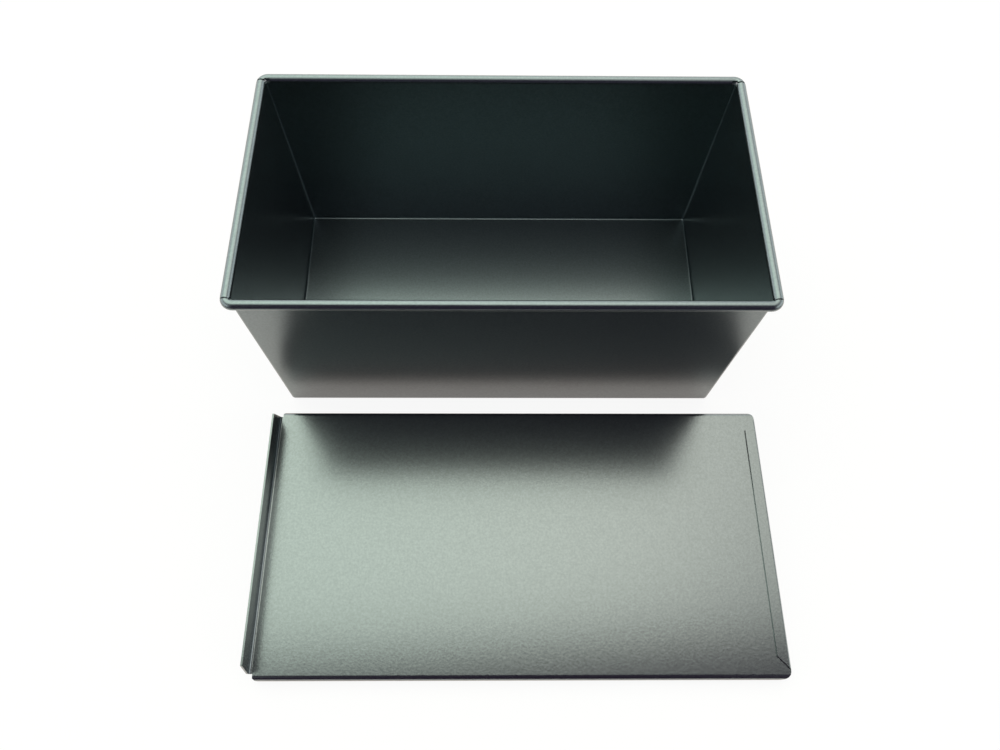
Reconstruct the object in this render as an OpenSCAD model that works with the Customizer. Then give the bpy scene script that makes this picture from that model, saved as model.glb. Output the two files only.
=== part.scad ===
// Loaf pan with a sliding lid. The pan is one folded steel sheet whose rim is
// rolled over a wire, and the lid lies in front of it with its outer face up.
// X runs along the pan, Y away from the lid, Z up from the table.

/* [Pan] */
// Length over the rolled rim
rim_l = 217; // [150:1:400]
// Width over the rolled rim
rim_w = 118; // [80:1:200]
// Height from the table to the top of the rim
pan_h = 105; // [50:1:160]
// Thickness of the steel sheet
sheet = 0.8; // [0.6:0.1:1]
// How far each wall leans out between floor and rim
draft = 1; // [0:0.1:3]
// Outside radius where the walls fold up from the floor
floor_r = 1.8; // [1.2:0.1:4]
// How much wider than the floor's fold an upright corner turns at the floor
corner_more = 0.2; // [0.1:0.1:3]
// Outside radius of an upright corner under the rim
top_corner_r = 1.3; // [1.2:0.1:2]

/* [Rolled rim] */
// Thickness of the wire inside the roll
wire_d = 2.4; // [1.6:0.1:3.6]
// Clearance between the wire and the rolled sheet
wire_gap = 0.1; // [0.05:0.05:0.2]
// Inside radius of the rim's corners, seen from above
rim_inner_r = 0.9; // [0.3:0.1:1]
// Open seam between a corner and the roll of a short end
seam = 0.7; // [0.2:0.1:1.2]
// Gap between the sheet's curled edge and the wall
curl_gap = 0.3; // [0.2:0.1:0.6]
// Length of the open notch at each inside corner of the rim
notch_l = 2.3; // [1:0.1:3]
// Depth of the notch into the roll of a long side
notch_in = 0.9; // [0.3:0.1:1]

/* [Lid] */
// How far the lid reaches past the rim at each end
lid_over = 7.3; // [0:0.1:15]
// Clearance between the lid's channels and the rolled rim
slide_gap = 0.6; // [0.3:0.1:1]
// Outside radius of the lid's long edges
edge_r = 2; // [1.1:0.1:2.6]
// Outside radius at the foot of a channel
lip_r = 1.2; // [1:0.1:1.6]
// Reach of a channel's lip under the rim
lip_w = 3.1; // [2:0.1:3.2]
// Height of the upright pull flange above the lid
flange_h = 11.5; // [6:0.5:25]
// Inside radius of the flange's bend
flange_r = 1.2; // [0.8:0.1:3]
// Length of the relief between the flange and each channel
relief = 2.2; // [2.1:0.1:8]
// Size of the slanting cut at the start of each channel
channel_cut = 0.9; // [0.3:0.1:3]
// How far the flange's ends slope in towards the top
flange_slope = 2.5; // [0:0.5:10]
// How far the flange's fold stops short of the lid's long edges
flange_inset = 2.6; // [2.6:0.1:10]
// Width of the hem folded back onto the lid
hem_w = 5.2; // [3:0.1:10]
// Length of the slanting cut at each end of the hem
hem_mitre = 5.5; // [3:0.1:12]
// How far the hem's fold stops short of the lid's long edges
hem_inset = 3.8; // [2.6:0.1:10]
// Radius of the lid's corners at the hem
lid_corner_r = 3.5; // [2:0.1:8]

/* [Placing] */
// Place of the lid's middle along the pan
lid_x = 8.2; // [-30:0.1:30]
// Clear table between the pan's rim and the lid
lid_clear = 5.3; // [3:0.1:60]

/* [Hidden] */
COATED = [0.33, 0.36, 0.34];
STEEL = [0.62, 0.63, 0.64];
$fn = 64;
HULL_FN = 32;
LEVEL_STEP = 9;
over = 1;

roll_r = wire_d / 2 + wire_gap + sheet;
roll_bore_r = roll_r - sheet;
roll_z = pan_h - roll_r;
rim_turn_r = roll_r + rim_inner_r;
rim_x = rim_l / 2 - roll_r;
rim_y = rim_w / 2 - roll_r;
turn_x = rim_x - rim_turn_r;
turn_y = rim_y - rim_turn_r;
wall_x = rim_x - roll_r + sheet;
wall_y = rim_y - roll_r + sheet;

lid_l = rim_l + 2 * lid_over;
lid_w = rim_w + 2 * (sheet + slide_gap);
lid_h = 2 * (sheet + slide_gap + roll_r);
lid_y = -(rim_w + lid_w) / 2 - lid_clear;
channel_l = lid_l - relief;
hem_half = lid_w / 2 - hem_inset;
flange_half = lid_w / 2 - flange_inset;

// Solid rounded box of the pan: inset 0 is the outside of the sheet, inset
// sheet its inside
module pan_shape(inset, top_z) {
    foot_x = wall_x - draft - floor_r - corner_more;
    foot_y = wall_y - draft - floor_r - corner_more;
    top_x = wall_x - top_corner_r;
    top_y = wall_y - top_corner_r;
    bend_r = floor_r - inset;
    hull()
        for (sx = [-1, 1], sy = [-1, 1]) {
            for (a = [0:LEVEL_STEP:90])
                translate([sx * foot_x, sy * foot_y, floor_r - bend_r * cos(a)])
                    cylinder(r = corner_more + bend_r * sin(a), h = 0.01, $fn = HULL_FN);
            translate([sx * top_x, sy * top_y, roll_z])
                cylinder(r = top_corner_r - inset, h = top_z - roll_z, $fn = HULL_FN);
        }
}

// Walls and floor: one sheet, open at the top
module walls() {
    difference() {
        pan_shape(0, roll_z + 0.01);
        pan_shape(sheet, pan_h);
    }
}

// Section of the rolled rim, the wire's centre at the origin, the wall at -X
module roll_section() {
    difference() {
        circle(r = roll_r);
        circle(r = roll_bore_r);
        translate([-roll_bore_r, -roll_r - over])
            square([curl_gap, roll_r + over - curl_gap]);
    }
}

// Roll along X, middle at the origin, the pan's wall towards -Y
module straight_roll(len) {
    rotate([90, 0, 90])
        translate([0, 0, -len / 2])
            linear_extrude(len)
                roll_section();
}

// Roll round one corner of the rim, centred on the corner's turn
module corner_roll() {
    rotate_extrude(angle = 90)
        translate([rim_turn_r, 0])
            roll_section();
}

// Rolls along the four walls and round the corners, parted by the open seams
module rolled_rim() {
    seam_x = wall_x - sheet;
    translate([0, 0, roll_z])
        difference() {
            for (a = [0, 180])
                rotate(a) {
                    translate([0, rim_y, 0]) straight_roll(2 * turn_x);
                    translate([rim_x, 0, 0]) rotate(-90) straight_roll(2 * turn_y);
                    for (m = [0, 1])
                        mirror([m, 0, 0])
                            translate([turn_x, turn_y, 0]) corner_roll();
                }
            for (sx = [-1, 1], sy = [-1, 1])
                translate([sx * (seam_x + roll_r), sy * (wall_y - sheet), 0])
                    cube([2 * (roll_r + over), seam, 2 * (roll_r + over)], center = true);
        }
}

// Open notches where the roll of a long side starts beside each corner
module rim_notches() {
    for (sx = [-1, 1], sy = [-1, 1])
        translate([sx * (wall_x - (sheet + notch_l) / 2), sy * (wall_y - sheet),
                   roll_z + roll_r])
            cube([notch_l, 2 * notch_in, 2 * roll_r], center = true);
}

module pan_body() {
    color(COATED)
        difference() {
            union() {
                walls();
                rolled_rim();
            }
            rim_notches();
        }
}

module rim_wire() {
    wire_r = wire_d / 2;
    color(STEEL)
        translate([0, 0, roll_z])
            for (a = [0, 180])
                rotate(a) {
                    translate([-turn_x, rim_y, 0])
                        rotate([0, 90, 0])
                            cylinder(r = wire_r, h = 2 * turn_x);
                    translate([rim_x, turn_y, 0])
                        rotate([90, 0, 0])
                            cylinder(r = wire_r, h = 2 * turn_y);
                    for (m = [0, 1])
                        mirror([m, 0, 0])
                            translate([turn_x, turn_y, 0])
                                rotate_extrude(angle = 90)
                                    translate([rim_turn_r, 0]) circle(r = wire_r);
                }
}

// A quarter of a bent sheet in section: centre at the origin, corner to +X +Y
module bend_section(outer_r) {
    intersection() {
        difference() {
            circle(r = outer_r);
            circle(r = outer_r - sheet);
        }
        square(outer_r);
    }
}

// Section of one channel, seen along X, for the long edge at +Y
module channel_section() {
    half = lid_w / 2;
    translate([half - edge_r, lid_h - edge_r]) bend_section(edge_r);
    translate([half - sheet, lip_r]) square([sheet, lid_h - edge_r - lip_r]);
    translate([half - lip_r, lip_r]) mirror([0, 1]) bend_section(lip_r);
    translate([half - sheet - lip_w, 0]) square([lip_w + sheet - lip_r, sheet]);
}

module channels() {
    for (m = [0, 1])
        mirror([0, m, 0])
            translate([relief - lid_l / 2, 0, 0])
                rotate([90, 0, 90])
                    linear_extrude(channel_l)
                        channel_section();
}

module lid_top() {
    flat_y = lid_w / 2 - edge_r;
    fold_x = lid_l / 2 - sheet;
    start_x = sheet + flange_r - lid_l / 2;
    translate([relief - lid_l / 2, -flat_y, lid_h - sheet])
        cube([fold_x + lid_l / 2 - relief, 2 * flat_y, sheet]);
    translate([start_x, -flange_half, lid_h - sheet])
        cube([relief, 2 * flange_half, sheet]);
    for (m = [0, 1])
        mirror([0, m, 0])
            translate([fold_x, hem_half, lid_h - sheet])
                cube([sheet, flat_y - hem_half, sheet]);
}

// Hem folded back onto the outer face, its ends mitred above the lid
module hem() {
    half_in = hem_half - hem_mitre;
    fold_x = lid_l / 2 - sheet;
    raw_x = lid_l / 2 - hem_w;
    intersection() {
        union() {
            translate([raw_x, -hem_half, lid_h])
                cube([fold_x - raw_x, 2 * hem_half, sheet]);
            translate([fold_x, hem_half, lid_h])
                rotate([90, 0, 0])
                    cylinder(r = sheet, h = 2 * hem_half);
        }
        union() {
            translate([0, -hem_half, 0])
                cube([lid_l, 2 * hem_half, lid_h]);
            linear_extrude(lid_h + sheet)
                polygon([[lid_l / 2, -hem_half], [lid_l / 2, hem_half],
                         [raw_x, half_in], [raw_x, -half_in]]);
        }
    }
}

// Upright flange to pull the lid by, with sloping ends
module pull_flange() {
    bend_x = sheet + flange_r - lid_l / 2;
    bend_z = lid_h + flange_r;
    top_half = flange_half - flange_slope;
    intersection() {
        rotate([90, 0, 0])
            translate([0, 0, -flange_half])
                linear_extrude(2 * flange_half) {
                    translate([bend_x, bend_z])
                        rotate(180) bend_section(flange_r + sheet);
                    translate([-lid_l / 2, bend_z])
                        square([sheet, flange_h - flange_r]);
                }
        translate([-lid_l / 2 - over, 0, 0])
            rotate([90, 0, 90])
                linear_extrude(relief + 2 * over)
                    polygon([[-flange_half, 0], [flange_half, 0], [flange_half, bend_z],
                             [top_half, lid_h + flange_h],
                             [-top_half, lid_h + flange_h], [-flange_half, bend_z]]);
    }
}

// Outline of the lid seen from above, with slanting cuts at the start of the
// channels and two rounded corners at +X
module lid_outline() {
    half = lid_w / 2;
    start_x = relief - lid_l / 2;
    cut_x = start_x + channel_cut;
    cut_y = half - channel_cut;
    round_x = lid_l / 2 - lid_corner_r;
    round_y = half - lid_corner_r;
    translate([-lid_l / 2, -flange_half])
        square([relief + over, 2 * flange_half]);
    polygon([[start_x, -cut_y], [cut_x, -half], [round_x, -half],
             [round_x, half], [cut_x, half], [start_x, cut_y]]);
    translate([0, -round_y])
        square([lid_l / 2, 2 * round_y]);
    for (s = [-1, 1])
        translate([round_x, s * round_y]) circle(r = lid_corner_r);
}

module lid() {
    color(COATED)
        translate([lid_x, lid_y, 0]) {
            intersection() {
                union() {
                    channels();
                    lid_top();
                }
                linear_extrude(lid_h + over) lid_outline();
            }
            hem();
            pull_flange();
        }
}

pan_body();
rim_wire();
lid();
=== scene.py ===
"""Looks of a folded steel loaf pan and its sliding lid, built round the CAD frame."""

import math

import bpy
from mathutils import Matrix, Vector


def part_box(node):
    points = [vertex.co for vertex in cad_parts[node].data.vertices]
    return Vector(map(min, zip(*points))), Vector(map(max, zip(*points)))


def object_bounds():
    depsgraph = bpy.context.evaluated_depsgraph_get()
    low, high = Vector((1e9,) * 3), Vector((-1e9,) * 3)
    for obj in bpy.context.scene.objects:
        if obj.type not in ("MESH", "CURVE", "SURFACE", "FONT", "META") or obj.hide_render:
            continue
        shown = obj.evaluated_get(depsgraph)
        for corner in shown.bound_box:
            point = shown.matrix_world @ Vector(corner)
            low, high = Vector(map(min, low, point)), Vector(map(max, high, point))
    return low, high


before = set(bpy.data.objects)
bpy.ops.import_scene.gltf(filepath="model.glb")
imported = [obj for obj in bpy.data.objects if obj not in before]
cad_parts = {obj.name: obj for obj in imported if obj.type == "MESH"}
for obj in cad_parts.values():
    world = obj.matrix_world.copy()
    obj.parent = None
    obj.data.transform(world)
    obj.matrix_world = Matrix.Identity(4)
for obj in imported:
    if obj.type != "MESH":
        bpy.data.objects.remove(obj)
CAD_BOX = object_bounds()

MM = 0.001
LID_LOW, LID_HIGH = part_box("lid")

# Camera, as fitted to the edges of pan and lid in the photograph
IMAGE_W = 1000
SENSOR_MM = 36.0
FOCAL_PX = 789.6
CENTRE_PX = (499.5, 347.1)
FRAME_CENTRE_PX = (500.0, 375.0)
CAMERA_MM = (-4.7, -200.85, 369.6)
CAMERA_PITCH = 64.64
CAMERA_YAW = 1.5
CAMERA_ROLL = 1.47
CAMERA_CLIP = 0.01

# Coated sheet: dark and light tone of the fine grain, and how satin it is
PAN_DARK = (0.152, 0.181, 0.192, 1.0)
PAN_LIGHT = (0.239, 0.285, 0.302, 1.0)
PAN_ROUGHNESS = 0.28
LID_DARK = (0.167, 0.187, 0.194, 1.0)
LID_LIGHT = (0.249, 0.279, 0.29, 1.0)
LID_ROUGHNESS = 0.25
ROUGHNESS_SPREAD = 0.01
GRAIN_SCALE = 1050.0
GRAIN_DETAIL = 2.0

# The lid is shaded as if its sheet fell away a little from a point near its
# front edge. The fall is in metres at a distance of one metre, along X and along
# Y, and the grain has a height in metres too.
LID_TOP = ((LID_LOW.x + LID_HIGH.x) / 2, LID_LOW.y + 20.0 * MM)
LID_FALL = (0.1, 0.33)
LID_GRAIN_HEIGHT = 0.02 * MM
BUMP_METRE = 1.0

# Bare wire under the rolled rim
WIRE_COLOUR = (0.62, 0.63, 0.64, 1.0)
WIRE_ROUGHNESS = 0.35

METALLIC = 1.0
WHITE = (1.0, 1.0, 1.0, 1.0)

# Sky of the studio: bright walls, a dimmer ceiling, a softbox behind the pan that
# changes in tint from left to right, and a shaded side towards the camera. Inner
# and outer are the angles from each direction between which the patch fades out.
WALL_COLOUR = (1.55, 1.56, 1.5, 1.0)
CEILING_COLOUR = (0.57, 0.57, 0.55, 1.0)
CEILING_DIRECTION = (0.0, 0.0, 1.0)
CEILING_INNER = 49.0
CEILING_OUTER = 66.0
SOFTBOX_LEFT = (2.25, 2.42, 2.06, 1.0)
SOFTBOX_RIGHT = (2.38, 2.3, 2.02, 1.0)
SOFTBOX_LEFT_X = -0.25
SOFTBOX_RIGHT_X = 0.3
SOFTBOX_DIRECTION = (-0.15, 0.42, 0.9)
SOFTBOX_INNER = 18.0
SOFTBOX_OUTER = 46.0
SHADE_COLOUR = (0.058, 0.038, 0.075, 1.0)
SHADE_DIRECTION = (0.05, -0.97, 0.25)
SHADE_INNER = 34.0
SHADE_OUTER = 50.0

# Dark card over the camera
CARD_Z = 0.41
CARD_OUTLINE = [(-0.3, -0.5), (0.4, -0.5), (0.4, -0.125), (-0.3, -0.165)]

# Table: in the steel it turns dark over a stretch in front of the lid, a painted shade that
# only reflections show
TABLE_COLOUR = (0.93, 0.93, 0.93, 1.0)
TABLE_GLOW = 0.9
TABLE_MIRRORED_GLOW = 0.4
TABLE_MIRRORED_COLOUR = (1.24, 1.0, 0.9, 1.0)
TABLE_SHADE_START_Y = LID_LOW.y - 15.0 * MM
TABLE_SHADE_FULL_Y = LID_LOW.y - 85.0 * MM
TABLE_OUTLINE = [(-3.0, -3.0), (3.0, -3.0), (3.0, 3.0), (-3.0, 3.0)]


def look_matrix(place, pitch, yaw, roll):
    """Camera matrix that looks along +Y turned by yaw, down by pitch, then rolled."""
    forward = Vector((math.sin(yaw) * math.cos(pitch),
                      math.cos(yaw) * math.cos(pitch),
                      -math.sin(pitch)))
    level = forward.cross(Vector((0, 0, 1))).normalized()
    upright = level.cross(forward)
    right = math.cos(roll) * level + math.sin(roll) * upright
    up = math.cos(roll) * upright - math.sin(roll) * level
    turn = Matrix((right, up, -forward)).transposed().to_4x4()
    return Matrix.Translation(place) @ turn


def add_camera():
    """Camera of the photograph, with the lens and the shift of its fitted frame."""
    data = bpy.data.cameras.new("photo_camera")
    data.sensor_fit = "HORIZONTAL"
    data.sensor_width = SENSOR_MM
    data.lens = FOCAL_PX * SENSOR_MM / IMAGE_W
    data.shift_x = (FRAME_CENTRE_PX[0] - CENTRE_PX[0]) / IMAGE_W
    data.shift_y = (CENTRE_PX[1] - FRAME_CENTRE_PX[1]) / IMAGE_W
    data.clip_start = CAMERA_CLIP
    camera = bpy.data.objects.new("photo_camera", data)
    bpy.context.scene.collection.objects.link(camera)
    camera.matrix_world = look_matrix(Vector(CAMERA_MM) * MM, math.radians(CAMERA_PITCH),
                                      math.radians(CAMERA_YAW), math.radians(CAMERA_ROLL))
    bpy.context.scene.camera = camera


def add_node(tree, kind, inputs, **settings):
    """Add a node; each input is a plain value or the output of another node."""
    node = tree.nodes.new(kind)
    for setting, value in settings.items():
        setattr(node, setting, value)
    for socket, value in inputs.items():
        if isinstance(value, bpy.types.NodeSocket):
            tree.links.new(value, node.inputs[socket])
        else:
            node.inputs[socket].default_value = value
    return node


def mix_colours(tree, share, first, second):
    """Colour between two others, each a plain colour or the output of a node."""
    mix = add_node(tree, "ShaderNodeMix", {"Factor": share, "A": first, "B": second},
                   data_type="RGBA")
    return mix.outputs["Result"]


def mix_shaders(tree, share, first, second):
    """Shader between two others."""
    mix = add_node(tree, "ShaderNodeMixShader", {"Fac": share, 1: first, 2: second})
    return mix.outputs["Shader"]


def new_material(name):
    """A material whose node tree is empty, and that tree."""
    material = bpy.data.materials.new(name)
    material.use_nodes = True
    material.node_tree.nodes.clear()
    return material, material.node_tree


def lid_height(tree, place, grain):
    """Height in metres of the lid's shaded face: its fall and its grain."""
    offset = add_node(tree, "ShaderNodeVectorMath",
                      {0: place.outputs["Object"], 1: (*LID_TOP, 0.0)},
                      operation="SUBTRACT")
    squared = add_node(tree, "ShaderNodeVectorMath",
                       {0: offset.outputs["Vector"], 1: offset.outputs["Vector"]},
                       operation="MULTIPLY")
    fall = add_node(tree, "ShaderNodeVectorMath",
                    {0: squared.outputs["Vector"], 1: (-LID_FALL[0], -LID_FALL[1], 0.0)},
                    operation="DOT_PRODUCT")
    height = add_node(tree, "ShaderNodeMath",
                      {0: grain.outputs["Fac"], 1: LID_GRAIN_HEIGHT, 2: fall.outputs["Value"]},
                      operation="MULTIPLY_ADD")
    return height.outputs["Value"]


def coated_steel(name, dark, light, roughness, falling):
    """Satin metallic coating with a fine grain; a falling sheet is shaded as the lid is."""
    material, tree = new_material(name)
    place = add_node(tree, "ShaderNodeTexCoord", {})
    grain = add_node(tree, "ShaderNodeTexNoise", {"Vector": place.outputs["Object"],
                                                  "Scale": GRAIN_SCALE,
                                                  "Detail": GRAIN_DETAIL})
    rough = add_node(tree, "ShaderNodeMapRange", {"Value": grain.outputs["Fac"],
                                                  "To Min": roughness - ROUGHNESS_SPREAD,
                                                  "To Max": roughness + ROUGHNESS_SPREAD})
    tone = mix_colours(tree, grain.outputs["Fac"], dark, light)
    shader = add_node(tree, "ShaderNodeBsdfPrincipled", {"Metallic": METALLIC,
                                                         "Base Color": tone,
                                                         "Roughness": rough.outputs["Result"]})
    if falling:
        face = add_node(tree, "ShaderNodeBump", {"Distance": BUMP_METRE,
                                                 "Height": lid_height(tree, place, grain)})
        tree.links.new(face.outputs["Normal"], shader.inputs["Normal"])
    add_node(tree, "ShaderNodeOutputMaterial", {"Surface": shader.outputs["BSDF"]})
    return material


def drawn_wire():
    """Bright drawn steel of the wire in the rim."""
    material, tree = new_material("drawn_wire")
    shader = add_node(tree, "ShaderNodeBsdfPrincipled", {"Metallic": METALLIC,
                                                         "Base Color": WIRE_COLOUR,
                                                         "Roughness": WIRE_ROUGHNESS})
    add_node(tree, "ShaderNodeOutputMaterial", {"Surface": shader.outputs["BSDF"]})
    return material


def dress_node(name, material):
    """Give a CAD node a new material in every slot."""
    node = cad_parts[name]
    if not node.material_slots:
        node.data.materials.append(material)
    for slot in node.material_slots:
        slot.material = material


def add_plane(name, outline, z, material):
    """A level plane of the studio."""
    mesh = bpy.data.meshes.new(name)
    mesh.from_pydata([(x, y, z) for x, y in outline], [], [tuple(range(len(outline)))])
    mesh.materials.append(material)
    plane = bpy.data.objects.new(name, mesh)
    bpy.context.scene.collection.objects.link(plane)


def add_table():
    """Pale table that glows a little; the steel mirrors it as dark in front of the lid, a
    painted shade that only reflections show.
    """
    material, tree = new_material("pale_table")
    path = add_node(tree, "ShaderNodeLightPath", {})
    mirrored = path.outputs["Is Glossy Ray"]
    matt = add_node(tree, "ShaderNodeBsdfDiffuse", {"Color": TABLE_COLOUR})
    warmed = mix_colours(tree, mirrored, WHITE, TABLE_MIRRORED_COLOUR)
    glow = add_node(tree, "ShaderNodeEmission", {"Color": warmed})
    mirrored_glow = add_node(tree, "ShaderNodeMath", {0: mirrored, 1: TABLE_MIRRORED_GLOW},
                             operation="MULTIPLY")
    glowing = add_node(tree, "ShaderNodeMath", {0: path.outputs["Is Camera Ray"],
                                                1: TABLE_GLOW,
                                                2: mirrored_glow.outputs["Value"]},
                       operation="MULTIPLY_ADD")
    pale = mix_shaders(tree, glowing.outputs["Value"],
                       matt.outputs["BSDF"], glow.outputs["Emission"])
    place = add_node(tree, "ShaderNodeTexCoord", {})
    parts = add_node(tree, "ShaderNodeSeparateXYZ", {"Vector": place.outputs["Object"]})
    # Painted shade: seen in the steel, the table fades to the shade colour over a stretch in
    # front of the lid
    front = add_node(tree, "ShaderNodeMapRange", {"Value": parts.outputs["Y"],
                                                  "From Min": TABLE_SHADE_START_Y,
                                                  "From Max": TABLE_SHADE_FULL_Y},
                     interpolation_type="SMOOTHSTEP")
    shaded = add_node(tree, "ShaderNodeMath", {0: front.outputs["Result"], 1: mirrored},
                      operation="MULTIPLY")
    # Colour of the painted shade that glossy rays see on the table in front of the lid
    dark = add_node(tree, "ShaderNodeEmission", {"Color": SHADE_COLOUR})
    surface = mix_shaders(tree, shaded.outputs["Value"], pale, dark.outputs["Emission"])
    add_node(tree, "ShaderNodeOutputMaterial", {"Surface": surface})
    add_plane("table", TABLE_OUTLINE, CAD_BOX[0][2], material)


def add_dark_card():
    """Dark card over the camera, which only the steel mirrors."""
    material, tree = new_material("dark_card")
    path = add_node(tree, "ShaderNodeLightPath", {})
    clear = add_node(tree, "ShaderNodeBsdfTransparent", {})
    dark = add_node(tree, "ShaderNodeEmission", {"Color": SHADE_COLOUR})
    surface = mix_shaders(tree, path.outputs["Is Glossy Ray"],
                          clear.outputs["BSDF"], dark.outputs["Emission"])
    add_node(tree, "ShaderNodeOutputMaterial", {"Surface": surface})
    add_plane("dark_card", CARD_OUTLINE, CARD_Z, material)


def colour_across(tree, ray, left, right):
    """A colour that changes from the left of the sky to its right."""
    parts = add_node(tree, "ShaderNodeSeparateXYZ", {"Vector": ray})
    share = add_node(tree, "ShaderNodeMapRange", {"Value": parts.outputs["X"],
                                                  "From Min": SOFTBOX_LEFT_X,
                                                  "From Max": SOFTBOX_RIGHT_X})
    return mix_colours(tree, share.outputs["Result"], left, right)


def sky_patch(tree, ray, direction, inner, outer, under, colour):
    """Lay a soft round patch of a colour over the sky below it."""
    facing = add_node(tree, "ShaderNodeVectorMath",
                      {0: ray, 1: Vector(direction).normalized()},
                      operation="DOT_PRODUCT")
    edge = add_node(tree, "ShaderNodeMapRange", {"Value": facing.outputs["Value"],
                                                 "From Min": math.cos(math.radians(outer)),
                                                 "From Max": math.cos(math.radians(inner))},
                    interpolation_type="SMOOTHSTEP")
    return mix_colours(tree, edge.outputs["Result"], under, colour)


def light_studio():
    """Sky that lights the steel and is plain white to the camera."""
    world = bpy.data.worlds.new("white_studio")
    bpy.context.scene.world = world
    world.use_nodes = True
    tree = world.node_tree
    tree.nodes.clear()
    place = add_node(tree, "ShaderNodeTexCoord", {})
    ray = place.outputs["Generated"]
    softbox_colour = colour_across(tree, ray, SOFTBOX_LEFT, SOFTBOX_RIGHT)
    ceiling = sky_patch(tree, ray, CEILING_DIRECTION, CEILING_INNER, CEILING_OUTER,
                        WALL_COLOUR, CEILING_COLOUR)
    softbox = sky_patch(tree, ray, SOFTBOX_DIRECTION, SOFTBOX_INNER, SOFTBOX_OUTER,
                        ceiling, softbox_colour)
    sky = sky_patch(tree, ray, SHADE_DIRECTION, SHADE_INNER, SHADE_OUTER,
                    softbox, SHADE_COLOUR)
    path = add_node(tree, "ShaderNodeLightPath", {})
    seen = mix_colours(tree, path.outputs["Is Camera Ray"], sky, WHITE)
    background = add_node(tree, "ShaderNodeBackground", {"Color": seen})
    add_node(tree, "ShaderNodeOutputWorld", {"Surface": background.outputs["Background"]})


bpy.context.scene.view_settings.view_transform = "Standard"
add_camera()
light_studio()
add_table()
add_dark_card()
dress_node("pan_body", coated_steel("coated_pan", PAN_DARK, PAN_LIGHT, PAN_ROUGHNESS, False))
dress_node("lid", coated_steel("coated_lid", LID_DARK, LID_LIGHT, LID_ROUGHNESS, True))
dress_node("rim_wire", drawn_wire())
